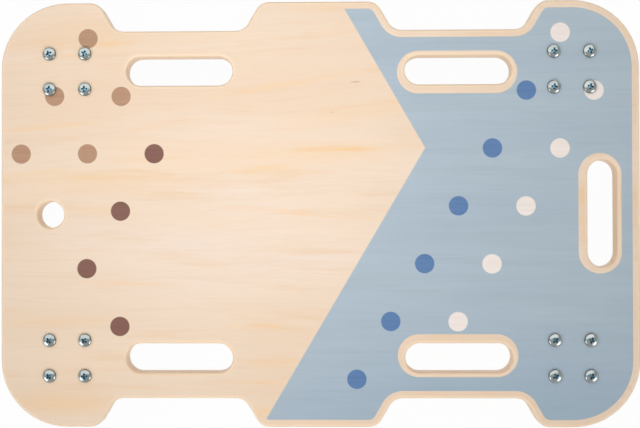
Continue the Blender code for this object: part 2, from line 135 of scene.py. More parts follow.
PALE_PATCHES = (
    (-86, 22, 44, 9.0, -0.18, 0.9), (-120, -30, 90, 22.0, 0.0, 0.75), (-30, -45, 80, 16.0, 0.05, 0.8),
    (-212, -20, 70, 18.0, 0.0, 0.7), (-60, 6, 60, 12.0, 0.0, 0.6), (-106, 91, 70, 16.0, 0.0, 0.5),
    (-118, -63, 80, 16.0, 0.0, 0.5),
)
FLECKS = ((35.3, 124, 5.0, 0.8, 0.05, 0.8), (12.9, 95.5, 2.6, 0.7, 0.0, 0.4))
# The darker patch at the field's bottom right is painted shade, where the light falls off; it is not in the
# ink.
FIELD_PAINTED_SHADE_MARKS = ((180, -195, 230, 80, 0.0, 0.55),)

# Screws and nuts
SEAT_GAP = 0.0003
HEAD_RADIUS = 0.0064
HEAD_RIM = 0.0010
HEAD_DOME = 0.0024
HEAD_EASE = 0.0004
SHANK_RADIUS = 0.003
PLAIN_SHANK = 0.010
THREAD_LENGTH = 0.012
THREAD_DEPTH = 0.00035
THREAD_PITCH = 0.001
TIP_HEIGHT = 0.0004
TIP_INSET = 0.0009
RECESS_REACH = 0.0034
RECESS_HALF_WIDTH = 0.00092
RECESS_DEPTH = 0.0027
# How far below the dome, and how far out from the middle, the painted shade in the cross recess reaches
RECESS_SHADE_SKIN = 0.0002
RECESS_SHADE_SHARE = 0.7
# Where the painted shade on the rim of each screw head begins, and over how much of the radius it deepens
RIM_SHADE_START = 0.86
RIM_SHADE_RUN = 0.1
NUT_SIDES = 72
NUT_APOTHEM = 0.005
NUT_CHAMFER_RADIUS = 0.0048
NUT_CHAMFER = math.radians(30)
SCREW_TURNS = {
    "left_front": (40, 4, 35, 56),
    "left_back": (80, 2, 26, 68),
    "right_front": (30, 65, 40, 68),
    "right_back": (85, 75, 0, 18),
}

# Castors
SHEET_EDGE = 0.0005
PLATE_CORNER = 0.006
SCREW_REACH = 0.01675
KINGPIN_RADIUS = 0.004
KINGPIN_HOLE = 0.0043
KINGPIN_FLARE = 0.0017
KINGPIN_FLARE_DEPTH = 0.001
KINGPIN_FOOT = 0.0075
FOOT_WALL = 0.0012
FOOT_BEVEL = 0.0016
FOOT_CROWN = 0.0002
CROWN_RADIUS = 0.01691
CROWN_BOTTOM = 0.0621
CROWN_TOP = 0.0646
CROWN_EASE = 0.0009
RACE_RADIUS = 0.01141
BALL_RADIUS = 0.0025
BALL_LEVEL = 0.0659
BALL_SIDES = 24
BALL_RINGS = 16
BALLS = 12
TRAIL = 0.020
LEG_INNER = 0.0103
LEG_THICKNESS = 0.0022
LEG_HALF = 0.0105
LEG_ROOT = 0.001
KNEE_LEVEL = 0.0562
EYE_RADIUS = 0.0085
AXLE_RADIUS = 0.004
AXLE_BORE = 0.0043
AXLE_HEAD = 0.00625
AXLE_CROWN = 0.0002
AXLE_DOME = 0.0011
AXLE_EASE = 0.0008
AXLE_REACH = 0.0148
WHEEL_RADIUS = 0.025
TYRE_HALF = 0.009
TYRE_INNER = 0.019
TYRE_LIP_RISE = 0.0012
TYRE_LIP_WIDTH = 0.0003
SHOULDER_DROP = 0.0033
SHOULDER_WIDTH = 0.0042
TYRE_EASE = 0.0016
MOULD_LINE_HEIGHT = 0.00012
MOULD_LINE_FOOT = 0.0004
MOULD_LINE_TOP = 0.0002
TONGUE_HALF = 0.003
TONGUE_HEIGHT = 0.0015
HUB_RIM = 0.0187
HUB_RIM_INNER = 0.0142
HUB_BOSS = 0.008
HUB_HALF = 0.010
HUB_WEB_HALF = 0.0022
HUB_DRAFT = 0.0006
RIBS = 8
RIB_THICKNESS = 0.0016
RIB_WIDTH = 0.0145
RIB_ROOT = 0.0005
RIB_END = 0.0008

# Colours
VENEER = linear(247, 225, 203)
VENEER_DEEP = linear(243, 217, 190)
VENEER_PALE = linear(247, 227, 210)
VENEER_STREAK = linear(241, 206, 166)
VENEER_LINE = linear(227, 193, 158)
VENEER_AMBER = linear(249, 208, 154)
VENEER_FIBRE = linear(226, 190, 158)
VENEER_FLECK = linear(205, 160, 120)
VENEER_DULL = linear(229, 196, 160)
FIELD_BLUE = linear(184, 199, 209)
FIELD_DEEP = linear(172, 188, 201)
FIELD_BAND = linear(168, 183, 194)
FIELD_STREAK = linear(162, 178, 191)
# Blue of the painted shade at the field's bottom right
FIELD_PAINTED_SHADE_BLUE = linear(151, 175, 194)
FACE_PLY = (linear(250, 227, 200), linear(248, 221, 191))
CORE_PLY = (linear(254, 236, 212), linear(253, 230, 203))
CROSS_PLY = (linear(254, 224, 190), linear(251, 215, 178))
GLUE_LINE = linear(226, 184, 144)
RUBBER_GREY = (linear(104, 107, 110), linear(128, 130, 131))
HUB_GREY = (linear(216, 217, 214), linear(203, 205, 203))
# Painted shade on the screw heads: a dark bronze ring on the dome's steep rim, a painted reflection of the
# dark surroundings, and a darker teal in the cross recess, where shade falls
HEAD_PAINTED_SHADES = (("rim_painted_shade", linear(134, 126, 112)), ("recess", linear(126, 178, 196)))

# Metal finishes: bright colour, dull colour, roughness, and fine marks to the metre along x, y and z
METALS = {
    "screw_zinc": (linear(219, 228, 226), linear(199, 211, 210), 0.2, (900, 900, 900)),
    "nut_zinc": (linear(206, 210, 212), linear(180, 184, 186), 0.3, (700, 700, 2200)),
    "plate_zinc": (linear(206, 210, 213), linear(182, 187, 191), 0.34, (40, 1800, 1800)),
    "pin_zinc": (linear(196, 199, 201), linear(170, 174, 177), 0.32, (900, 900, 900)),
    "fork_zinc": (linear(208, 212, 215), linear(184, 189, 193), 0.32, (1800, 60, 1800)),
    "axle_zinc": (linear(200, 203, 205), linear(172, 176, 179), 0.3, (900, 900, 900)),
    "ball_steel": (linear(205, 206, 207), linear(190, 191, 193), 0.14, (1500, 1500, 1500)),
}
COAT_ROUGHNESS = 0.3

# Floor, room, lamps and camera
FLOOR_REACH = 30.0
FLOOR_WHITE = grey(0.95)
FLOOR_GLOW = 0.96
WHITE = grey(1.0)
ROOM_FRONT = grey(0.345)
ROOM_BACK = grey(0.18)
BACKDROP_TOP = (0.2, 0.24)
DECK_MIDDLE = (0, 0, 0.09)
POOL_MIDDLE = (-0.06, 0.10, 0.09)
SPOT_RADIUS = 0.35
SPOTS = (  # name, watts, spread in degrees, place, aim
    ("overhead_spot", 26, 26, (-0.06, 0.10, 2.2), POOL_MIDDLE),
    ("side_spot", 8.6, 28, (-1.7, 0.1, 1.6), DECK_MIDDLE),
    ("front_spot", 81, 28, (0.08, -1.36, 1.85), POOL_MIDDLE),
)
PANELS = (  # name, watts, width, height, place, aim
    ("back_panel", 16, 3.6, 1.9, (-0.2, 0.95, 1.5), DECK_MIDDLE),
    ("left_front_panel", 5.8, 1.1, 0.9, (-1.6, -1.25, 1.45), (-0.05, 0, 0.09)),
    ("right_front_panel", 6.9, 1.1, 0.9, (1.6, -1.25, 1.45), (0.05, 0, 0.09)),
)
CAMERA_SENSOR = 36.0
CAMERA_LENS = 55.75
CAMERA_PLACE = (0.0191, -0.0082, DECK_HIGH.z + 0.9297)
CAMERA_TURN = (0.5015, 1.0992, -0.1491)


# Shapes


def add_object(name, data):
    """A new object in the scene."""
    obj = bpy.data.objects.new(name, data)
    bpy.context.scene.collection.objects.link(obj)
    return obj


def mesh_of(shape, name):
    """A built shape as a mesh with its faces out, smooth but for its sharp edges."""
    bmesh.ops.recalc_face_normals(shape, faces=shape.faces)
    mesh = bpy.data.meshes.new(name)
    shape.to_mesh(mesh)
    shape.free()
    mesh.shade_smooth()
    mesh.set_sharp_from_angle(angle=SHARP_ANGLE)
    return mesh


def plain_mesh(obj):
    """The object's evaluated mesh. The object itself is removed."""
    bpy.context.view_layer.update()
    graph = bpy.context.evaluated_depsgraph_get()
    mesh = bpy.data.meshes.new_from_object(obj.evaluated_get(graph))
    bpy.data.objects.remove(obj)
    return mesh


def joined(meshes, name, merge=False):
    """Several meshes as one. Points that lie on each other are merged where asked."""
    shape = bmesh.new()
    for mesh in meshes:
        shape.from_mesh(mesh)
    if merge:
        bmesh.ops.remove_doubles(shape, verts=shape.verts, dist=SAME_POINT)
    return mesh_of(shape, name)


def cut(mesh, cutter):
    """The mesh with the cutter's shape taken out of it."""
    body = add_object("body", mesh)
    tool = add_object("tool", cutter)
    body.modifiers.new("Cut", "BOOLEAN").object = tool
    result = plain_mesh(body)
    bpy.data.objects.remove(tool)
    return joined([result], mesh.name)


def span(shape, upper, lower):
    """Faces between two rings of vertices. A ring of one vertex is a pole."""
    count = max(len(upper), len(lower))
    faces = []
    for index in range(count):
        after = (index + 1) % count
        corners = [upper[index % len(upper)], upper[after % len(upper)],
                   lower[after % len(lower)], lower[index % len(lower)]]
        faces.append(shape.faces.new(list(dict.fromkeys(corners))))
    return faces


def lofted(rings, name, closed=False, capped=False):
    """A mesh through rings of points, joined end to end where closed, with flat ends where capped."""
    shape = bmesh.new()
    made = [[shape.verts.new(point) for point in ring] for ring in rings]
    for upper, lower in zip(made, made[1:]):
        span(shape, upper, lower)
    if closed:
        span(shape, made[-1], made[0])
    if capped:
        for ring in (made[0], made[-1]):
            shape.faces.new(ring)
    return mesh_of(shape, name)


def turned(profile, sides, name, closed=False):
    """A mesh turned about Z from (radius, height) points."""
    angles = [math.tau * index / sides for index in range(sides)]
    rings = []
    for radius, height in profile:
        if radius == 0:
            rings.append([(0, 0, height)])
            continue
        rings.append([(radius * math.cos(angle), radius * math.sin(angle), height) for angle in angles])
    return lofted(rings, name, closed)


def eased(profile, radius, steps=3):
    """A profile whose inner corners are rounded, as far as its sides let them be."""
    points = [profile[0]]
    for before, corner, after in zip(profile, profile[1:], profile[2:]):
        here = Vector(corner)
        back = Vector(before) - here
        ahead = Vector(after) - here
        reach = min(radius, back.length * 0.45, ahead.length * 0.45)
        start = here + back.normalized() * reach
        end = here + ahead.normalized() * reach
        for step in range(steps + 1):
            share = step / steps
            points.append(tuple(start.lerp(here, share).lerp(here.lerp(end, share), share)))
    return points + [profile[-1]]


def mirrored(upper):
    """A profile's upper half followed by its mirror image below."""
    return upper + [(radius, -height) for radius, height in reversed(upper)]


def arc_points(centre, radius, start, turn, outward):
    """Points on an arc, each with the direction that leads out of the material."""
    steps = max(2, math.ceil(abs(turn) / ARC_STEP))
    found = []
    for step in range(steps + 1):
        angle = start + turn * step / steps
        spoke = Vector((math.cos(angle), math.sin(angle)))
        found.append((Vector(centre) + spoke * radius, spoke * outward))
    return found


def points_of(outline):
    """An outline's points, without their directions."""
    return [point for point, _ in outline]


def rounded_outline(corners):
    """An outline through (x, y, radius) corners in counter-clockwise order, with its outward directions."""
    found = []
    for index, (x, y, radius) in enumerate(corners):
        corner = Vector((x, y))
        before = (Vector(corners[index - 1][:2]) - corner).normalized()
        after = (Vector(corners[(index + 1) % len(corners)][:2]) - corner).normalized()
        half_angle = before.angle(after) / 2
        centre = corner + (before + after).normalized() * radius / math.sin(half_angle)
        spoke = corner + before * radius / math.tan(half_angle) - centre
        turn = math.pi - 2 * half_angle
        side = math.copysign(1, after.cross(before))
        found += arc_points(centre, radius, math.atan2(spoke.y, spoke.x), side * turn, side)
    return found


def slot_outline(x, y, length, width, across=False):
    """A slot with half-round ends. Out of the material is towards its middle."""
    reach = (length - width) / 2
    found = arc_points((reach, 0), width / 2, -math.pi / 2, math.pi, -1)
    found += arc_points((-reach, 0), width / 2, math.pi / 2, math.pi, -1)
    if across:
        found = [(Vector((-point.y, point.x)), Vector((-out.y, out.x))) for point, out in found]
    return [(point + Vector((x, y)), out) for point, out in found]


def round_hole(x, y, radius, every=1):
    """A round hole, with its directions towards its middle. A small one needs only every few points."""
    return arc_points((x, y), radius, 0, math.tau, -1)[:-1:every]


def deck_outline():
    """The deck's outline, with two sloped notches in each long edge."""
    mouth = NOTCH_HALF_FLOOR + NOTCH_DEPTH / math.tan(NOTCH_SLOPE)
    corners = []
    for side in (1, -1):
        edge = side * HALF_WIDTH
        recess = side * (HALF_WIDTH - NOTCH_DEPTH)
        corners.append((side * HALF_LENGTH, edge, CORNER_RADIUS))
        for notch in (side * GRIP_X, -side * GRIP_X):
            for x, y in ((mouth, edge), (NOTCH_HALF_FLOOR, recess),
                         (-NOTCH_HALF_FLOOR, recess), (-mouth, edge)):
                corners.append((notch + side * x, y, NOTCH_FILLET))
        corners.append((-side * HALF_LENGTH, edge, CORNER_RADIUS))
    return rounded_outline(corners)


def edge_profile():
    """(inset, height) points from the flat of the top, round the edge and back to the flat below."""
    quarter = [math.pi / 2 * step / ROUND_STEPS for step in range(ROUND_STEPS + 1)]
    upper = [(EDGE_ROUND * (1 - math.sin(angle)), DECK_HIGH.z - EDGE_ROUND * (1 - math.cos(angle)))
             for angle in quarter]
    lower = [(inset, DECK_HIGH.z + DECK_LOW.z - height) for inset, height in reversed(upper)]
    flat = EDGE_ROUND + EDGE_FLAT
    return [(flat, DECK_HIGH.z)] + upper + lower + [(flat, DECK_LOW.z)]


def deck_rims():
    """Each outline of the deck with the print's edge beside it. The rope hole is in bare wood."""
    outer = deck_outline()
    rims = [(outer, [point - out * MARGIN for point, out in outer])]
    rims.append((slot_outline(END_SLOT_X, 0, SLOT_LENGTH, SLOT_WIDTH, across=True),
                 points_of(slot_outline(END_GAP_X, 0, GAP_LENGTH, GAP_WIDTH, across=True))))
    for x in (-1, 1):
        for y in (-1, 1):
            rims.append((slot_outline(x * GRIP_X, y * SLOT_Y, SLOT_LENGTH, SLOT_WIDTH),
                         points_of(slot_outline(x * GAP_X, y * GAP_Y, GAP_LENGTH, GAP_WIDTH))))
    rims.append((round_hole(ROPE_HOLE_X, 0, ROPE_HOLE_RADIUS), None))
    return rims


def fine_deck():
    """The deck: rounded rims round the outline, slots and rope hole, and flat faces between them."""
    shape = bmesh.new()
    top_edges = []
    bottom_edges = []
    margins = []
    for outline, print_edge in deck_rims():
        rings = []
        for inset, height in edge_profile():
            rings.append([shape.verts.new((*(point - out * inset), height)) for point, out in outline])
        for upper, lower in zip(rings, rings[1:]):
            for face in span(shape, upper, lower):
                face.smooth = True
        inner = rings[0]
        if print_edge:
            inner = [shape.verts.new((*point, DECK_HIGH.z)) for point in print_edge]
            margins += span(shape, inner, rings[0])
        top_edges.append(inner)
        bottom_edges.append(rings[-1])
    for corner in CORNERS:
        for x, y in screw_places(corner):
            hole = points_of(round_hole(x, y, SCREW_HOLE_RADIUS, 4))
            upper = [shape.verts.new((*point, DECK_HIGH.z)) for point in hole]
            lower = [shape.verts.new((*point, DECK_LOW.z)) for point in hole]
            span(shape, upper, lower)
            top_edges.append(upper)
            bottom_edges.append(lower)
    done = set(shape.faces)
    for face in done:
        face.material_index = EDGE
    for face in margins:
        face.material_index = BARE_MARGIN
    for number, rings in ((TOP, top_edges), (UNDERSIDE, bottom_edges)):
        edges = [shape.edges.get(ends) for ring in rings for ends in zip(ring[-1:] + ring[:-1], ring)]
        bmesh.ops.triangle_fill(shape, use_beauty=True, edges=edges)
        for face in set(shape.faces) - done:
            face.material_index = number
            face.smooth = False
            done.add(face)
    bmesh.ops.recalc_face_normals(shape, faces=shape.faces)
    mesh = bpy.data.meshes.new("deck_fine")
    shape.to_mesh(mesh)
    shape.free()
    return mesh


def flat_plate(outlines, bottom, height):
    """A sheet-metal blank with softened edges, from an outer outline and its holes."""
    curve = bpy.data.curves.new("blank", "CURVE")
    curve.dimensions = "2D"
    curve.fill_mode = "BOTH"
    curve.extrude = height / 2 - SHEET_EDGE
    curve.bevel_depth = SHEET_EDGE
    curve.bevel_resolution = 2
    curve.offset = -SHEET_EDGE
    for outline in outlines:
        spline = curve.splines.new("POLY")
        spline.points.add(len(outline) - 1)
        for point, (x, y) in zip(spline.points, outline):
            point.co = (x, y, 0, 1)
        spline.use_cyclic_u = True
    mesh = plain_mesh(add_object("blank", curve))
    mesh.transform(Matrix.Translation((0, 0, bottom + height / 2)))
    return joined([mesh], "sheet", merge=True)


# Pieces


def castor_place(corner):
    """The swivel axis of a castor."""
    low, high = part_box(f"{corner}_kingpin")
    return (low + high) / 2


def screw_places(corner):
    """The four screw places of a castor, in the order of their numbers."""
    centre = castor_place(corner)
    reaches = (-SCREW_REACH, SCREW_REACH)
    return [(centre.x + x, centre.y + y) for y in reaches for x in reaches]


def screw_mesh():
    """A pan-head screw with a cross recess, from its dome down to its threaded tip.

    Its recess and the rim of its head are marked for painted shade: the recess darkened where shade falls,
    the rim darkened as a painted reflection of the dark surroundings.
    """
    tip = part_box("left_front_screw_1")[0].z
    seat = DECK_HIGH.z + SEAT_GAP
    brim = seat + HEAD_RIM
    dome = []
    for step in range(DOME_STEPS + 1):
        angle = math.pi / 2 * step / DOME_STEPS
        dome.append((HEAD_RADIUS * math.sin(angle), brim + HEAD_DOME * math.cos(angle)))
    neck = [(HEAD_RADIUS, seat), (SHANK_RADIUS, seat), (SHANK_RADIUS, seat - PLAIN_SHANK)]
    rim = eased([dome[-1]] + neck, HEAD_EASE)
    thread = []
    level = tip + THREAD_LENGTH
    while level > tip + THREAD_PITCH:
        thread += [(SHANK_RADIUS, level), (SHANK_RADIUS - THREAD_DEPTH, level - THREAD_PITCH / 2)]
        level -= THREAD_PITCH
    end = [(SHANK_RADIUS - THREAD_DEPTH, tip + TIP_HEIGHT), (SHANK_RADIUS - TIP_INSET, tip), (0, tip)]
    blank = turned(dome[:-1] + rim + thread + end, SMALL_SIDES, "screw")
    screw = cut(blank, recess_cutter(brim + HEAD_DOME))
    # Painted shade: the faces sunk in the cross recess are marked, to be darkened where shade falls.
    recess = screw.attributes.new("recess", "FLOAT", "FACE")
    for face, mark in zip(screw.polygons, recess.data):
        away = min(1.0, face.center.xy.length / HEAD_RADIUS)
        surface = brim + HEAD_DOME * math.sqrt(1 - away * away)
        sunk = seat < face.center.z < surface - RECESS_SHADE_SKIN
        mark.value = 1.0 if sunk and away < RECESS_SHADE_SHARE else 0.0
    # Painted shade: the steep outer ring of the dome is darkened, standing in for the dark surroundings it
    # mirrors.
    edge = screw.attributes.new("rim_painted_shade", "FLOAT", "POINT")
    for vertex, mark in zip(screw.vertices, edge.data):
        away = vertex.co.xy.length / HEAD_RADIUS
        on_dome = vertex.co.z > seat + HEAD_RIM * 0.9
        mark.value = min(1.0, max(0.0, (away - RIM_SHADE_START) / RIM_SHADE_RUN)) if on_dome else 0.0
    return screw


def recess_cutter(top):
    """A cross that narrows as it goes down, for the screwdriver."""
    rings = []
    for level, reach, half in ((top + 0.001, RECESS_REACH * 1.1, RECESS_HALF_WIDTH * 1.15),
                               (top - RECESS_DEPTH, RECESS_REACH * 0.34, RECESS_HALF_WIDTH * 0.6)):
        ring = []
        for quarter in range(4):
            spin = Matrix.Rotation(quarter * math.pi / 2, 2)
            for corner in ((half, half), (half, reach), (-half, reach)):
                ring.append((*(spin @ Vector(corner)), level))
        rings.append(ring)
    return lofted(rings, "recess", capped=True)


def nut_mesh():
    """A hexagon nut with chamfered corners."""
    low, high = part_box("left_front_nut_1")
    sixth = math.pi / 3
    angles = [math.tau * index / NUT_SIDES for index in range(NUT_SIDES)]
    hexagon = [NUT_APOTHEM / math.cos((angle + sixth / 2) % sixth - sixth / 2) for angle in angles]
    drop = [max(0, radius - NUT_CHAMFER_RADIUS) * math.tan(NUT_CHAMFER) for radius in hexagon]
    bore = [SHANK_RADIUS] * NUT_SIDES
    shoulder = [NUT_CHAMFER_RADIUS] * NUT_SIDES
    rings = []
    for radii, face, fall in ((bore, high.z, 0), (shoulder, high.z, 0), (hexagon, high.z, -1),
                              (hexagon, low.z, 1), (shoulder, low.z, 0), (bore, low.z, 0)):
        rings.append([(radius * math.cos(angle), radius * math.sin(angle), face + fall * depth)
                      for radius, angle, depth in zip(radii, angles, drop)])
    return lofted(rings, "nut", closed=True)


def top_plate_mesh():
    """The castor's flat fixing plate, with holes for its screws and its kingpin."""
    low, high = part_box("left_front_top_plate")
    half = (high.x - low.x) / 2
    corners = [(x * half, y * half, PLATE_CORNER) for x, y in ((1, 1), (-1, 1), (-1, -1), (1, -1))]
    outlines = [rounded_outline(corners)]
    for x in (-SCREW_REACH, SCREW_REACH):
        for y in (-SCREW_REACH, SCREW_REACH):
            outlines.append(round_hole(x, y, SCREW_HOLE_RADIUS, 3))
    outlines.append(round_hole(0, 0, KINGPIN_HOLE, 2))
    return flat_plate([points_of(outline) for outline in outlines], low.z, high.z - low.z)


def kingpin_mesh():
    """The swivel rivet, flared in the plate and peened to a round foot under the crown."""
    low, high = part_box("left_front_kingpin")
    foot_top = CROWN_BOTTOM - SEAT_GAP
    profile = [(0, high.z), (KINGPIN_RADIUS + KINGPIN_FLARE, high.z),
               (KINGPIN_RADIUS, high.z - KINGPIN_FLARE_DEPTH), (KINGPIN_RADIUS, foot_top),
               (KINGPIN_FOOT, foot_top), (KINGPIN_FOOT, low.z + FOOT_WALL),
               (KINGPIN_FOOT - FOOT_BEVEL, low.z + FOOT_CROWN), (0, low.z)]
    return turned(eased(profile, CROWN_EASE), SMALL_SIDES, "kingpin")


def leg_outline():
    """One fork leg from the side: straight past the nuts, then back to the axle eye."""
    eye = Vector((-TRAIL, WHEEL_RADIUS))
    contact = {}
    for side in (-1, 1):
        to_knee = Vector((side * LEG_HALF, KNEE_LEVEL)) - eye
        lean = math.atan2(to_knee.y, to_knee.x)
        contact[side] = lean - side * math.acos(EYE_RADIUS / to_knee.length)
    root = CROWN_BOTTOM + LEG_ROOT
    outline = [Vector((LEG_HALF, root)), Vector((-LEG_HALF, root)), Vector((-LEG_HALF, KNEE_LEVEL))]
    turn = contact[1] - contact[-1] + math.tau
    outline += points_of(arc_points(eye, EYE_RADIUS, contact[-1], turn, 1))
    return outline + [Vector((LEG_HALF, KNEE_LEVEL))]


def fork_mesh():
    """The pressed fork: a round crown with a rolled edge, and two legs down to the axle."""
    profile = [(KINGPIN_HOLE, CROWN_TOP), (CROWN_RADIUS, CROWN_TOP), (CROWN_RADIUS, CROWN_BOTTOM),
               (KINGPIN_HOLE, CROWN_BOTTOM)]
    crown = turned(eased(profile, CROWN_EASE), LARGE_SIDES, "crown", closed=True)
    bore = points_of(round_hole(-TRAIL, WHEEL_RADIUS, AXLE_BORE, 2))
    leg = flat_plate([leg_outline(), bore], 0, LEG_THICKNESS)
    leg.transform(Matrix.Rotation(math.pi / 2, 4, "X"))
    legs = []
    for y in (-LEG_INNER, LEG_INNER + LEG_THICKNESS):
        copy = leg.copy()
        copy.transform(Matrix.Translation((0, y, 0)))
        legs.append(copy)
    fork = joined([crown] + legs, "fork")
    fork.transform(Matrix.Rotation(math.pi / 2, 4, "Z"))
    return fork


def on_axle(mesh):
    """A mesh turned about Z, laid along X at the axle's height behind the swivel axis."""
    mesh.transform(Matrix.Rotation(math.pi / 2, 4, "Y"))
    mesh.transform(Matrix.Translation((0, -TRAIL, WHEEL_RADIUS)))
    return mesh


def axle_mesh():
    """The riveted axle, with a domed head outside each leg."""
    inner = LEG_INNER + LEG_THICKNESS + SEAT_GAP
    upper = [(0, AXLE_REACH), (AXLE_HEAD * 0.5, AXLE_REACH - AXLE_CROWN), (AXLE_HEAD, AXLE_REACH - AXLE_DOME),
             (AXLE_HEAD, inner), (AXLE_RADIUS, inner)]
    return on_axle(turned(eased(mirrored(upper), AXLE_EASE), SMALL_SIDES, "axle"))


def tyre_mesh():
    """The tyre: a flat tread with round shoulders, a mould line and a tongue in the rim's groove."""
    tread = WHEEL_RADIUS - MOULD_LINE_HEIGHT
    upper = [(TYRE_INNER - TONGUE_HEIGHT, TONGUE_HALF), (TYRE_INNER, TONGUE_HALF),
             (TYRE_INNER, TYRE_HALF - TYRE_LIP_WIDTH), (TYRE_INNER + TYRE_LIP_RISE, TYRE_HALF),
             (WHEEL_RADIUS - SHOULDER_DROP, TYRE_HALF), (tread, TYRE_HALF - SHOULDER_WIDTH),
             (tread, MOULD_LINE_FOOT), (WHEEL_RADIUS, MOULD_LINE_TOP)]
    return on_axle(turned(eased(mirrored(upper), TYRE_EASE, 4), LARGE_SIDES, "tyre", closed=True))


def hub_blank():
    """The wheel centre before its ribs: a boss, a web and a rim with a groove for the tyre."""
    half_rim = TYRE_HALF - SEAT_GAP
    groove = TONGUE_HALF + SEAT_GAP
    upper = [(AXLE_BORE, HUB_HALF), (HUB_BOSS, HUB_HALF), (HUB_BOSS + HUB_DRAFT, HUB_WEB_HALF),
             (HUB_RIM_INNER, HUB_WEB_HALF), (HUB_RIM_INNER + HUB_DRAFT, half_rim), (HUB_RIM, half_rim),
             (HUB_RIM, groove), (HUB_RIM - TONGUE_HEIGHT, groove)]
    return turned(eased(mirrored(upper), HUB_DRAFT), HUB_SIDES, "hub", closed=True)


# Nodes


def wire(tree, node, inputs):
    """Sets a node's inputs, each to a plain value or to another node's output."""
    for key, value in inputs.items():
        if isinstance(value, bpy.types.NodeSocket):
            tree.links.new(value, node.inputs[key])
        else:
            node.inputs[key].default_value = value


def add_node(tree, kind, inputs, **settings):
    """The outputs of a new node, once its settings and its inputs are made."""
    node = tree.nodes.new(kind)
    for name, value in settings.items():
        setattr(node, name, value)
    wire(tree, node, inputs)
    return node.outputs


def new_tree(kind, name, inputs, outputs):
    """An empty tree with these named sockets, and what its inputs give."""
    tree = bpy.data.node_groups.new(name, kind)
    for way, sockets in (("INPUT", inputs), ("OUTPUT", outputs)):
        for label, sort in sockets.items():
            tree.interface.new_socket(label, in_out=way, socket_type="NodeSocket" + sort)
    return tree, tree.nodes.new("NodeGroupInput").outputs


def maths(tree, operation, first, second=0.0):
    """One step of arithmetic. Each value is a number or another node's output."""
    return add_node(tree, "ShaderNodeMath", {0: first, 1: second}, operation=operation)["Value"]


def combined(tree, x, y, z=0.0):
    """A place from its x, y and z."""
    return add_node(tree, "ShaderNodeCombineXYZ", {"X": x, "Y": y, "Z": z})["Vector"]


def split(tree, place):
    """The x, y and z of a place."""
    parts = add_node(tree, "ShaderNodeSeparateXYZ", {"Vector": place})
    return parts["X"], parts["Y"], parts["Z"]


# Trees for what repeats


def piece_tree(name, inputs):
    """An empty tree that takes and gives geometry, with these named inputs."""
    return new_tree("GeometryNodeTree", name, {"Geometry": "Geometry", **inputs}, {"Geometry": "Geometry"})


def finish_tree(tree, geometry, finish):
    """Ends a tree in plain geometry with its material."""
    plain = add_node(tree, "GeometryNodeRealizeInstances", {"Geometry": geometry})["Geometry"]
    finished = add_node(tree, "GeometryNodeSetMaterial", {"Geometry": plain, "Material": finish})["Geometry"]
    add_node(tree, "NodeGroupOutput", {"Geometry": finished})
    return tree


def fastener_tree():
    """One fastener on every point, each turned by the point's own angle."""
    tree, given = piece_tree("fasteners", {"Fastener": "Object", "Finish": "Material"})
    fastener = add_node(tree, "GeometryNodeObjectInfo", {"Object": given["Fastener"]})["Geometry"]
    turn = add_node(tree, "GeometryNodeInputNamedAttribute", {"Name": "turn"}, data_type="FLOAT")["Attribute"]
    spin = combined(tree, 0.0, 0.0, turn)
    rotation = add_node(tree, "FunctionNodeEulerToRotation", {"Euler": spin})["Rotation"]
    spread = add_node(tree, "GeometryNodeInstanceOnPoints", {
        "Points": given["Geometry"], "Instance": fastener, "Rotation": rotation})["Instances"]
    return finish_tree(tree, spread, given["Finish"])


def ball_race_tree():
    """A ring of balls round the swivel axis."""
    tree, given = piece_tree("ball_race", {
        "Balls": "Int", "Ball Radius": "Float", "Race Radius": "Float", "Place": "Vector",
        "Finish": "Material"})
    ring = add_node(tree, "GeometryNodeMeshCircle", {
        "Vertices": given["Balls"], "Radius": given["Race Radius"]})["Mesh"]
    ball = add_node(tree, "GeometryNodeMeshUVSphere", {
        "Segments": BALL_SIDES, "Rings": BALL_RINGS, "Radius": given["Ball Radius"]})["Mesh"]
    smooth = add_node(tree, "GeometryNodeSetShadeSmooth", {"Geometry": ball})["Geometry"]
    spread = add_node(tree, "GeometryNodeInstanceOnPoints", {"Points": ring, "Instance": smooth})["Instances"]
    race = add_node(tree, "GeometryNodeTransform", {
        "Geometry": spread, "Translation": given["Place"]})["Geometry"]
    return finish_tree(tree, race, given["Finish"])


def rib_tree():
    """A wheel centre with a ring of flat ribs between its boss and its rim."""
    tree, given = piece_tree("hub_ribs", {
        "Ribs": "Int", "Boss Radius": "Float", "Rim Radius": "Float", "Thickness": "Float", "Width": "Float",
        "Finish": "Material"})
    middle = maths(tree, "MULTIPLY", maths(tree, "ADD", given["Boss Radius"], given["Rim Radius"]), 0.5)
    length = maths(tree, "SUBTRACT", given["Rim Radius"], given["Boss Radius"])
    size = combined(tree, length, given["Thickness"], given["Width"])
    rib = add_node(tree, "GeometryNodeMeshCube", {"Size": size})["Mesh"]
    ring = add_node(tree, "GeometryNodeMeshCircle", {"Vertices": given["Ribs"], "Radius": middle})["Mesh"]
    outward = add_node(tree, "GeometryNodeInputPosition", {})["Position"]
    lay = add_node(tree, "FunctionNodeAlignRotationToVector", {"Vector": outward}, axis="X")["Rotation"]
    ribs = add_node(tree, "GeometryNodeInstanceOnPoints", {
        "Points": ring, "Instance": rib, "Rotation": lay})["Instances"]
    both = tree.nodes.new("GeometryNodeJoinGeometry")
    for part in (ribs, given["Geometry"]):
        tree.links.new(part, both.inputs["Geometry"])
    return finish_tree(tree, both.outputs["Geometry"], given["Finish"])


def grown(mesh, tree, values):
    """The plain mesh that a tree makes of a mesh, with the tree's inputs set."""
    obj = add_object("grown", mesh)
    modifier = obj.modifiers.new("Nodes", "NODES")
    modifier.node_group = tree
    for item in tree.interface.items_tree:
        if item.item_type == "SOCKET" and item.in_out == "INPUT" and item.name in values:
            modifier[item.identifier] = values[item.name]
    return plain_mesh(obj)


# Finishes


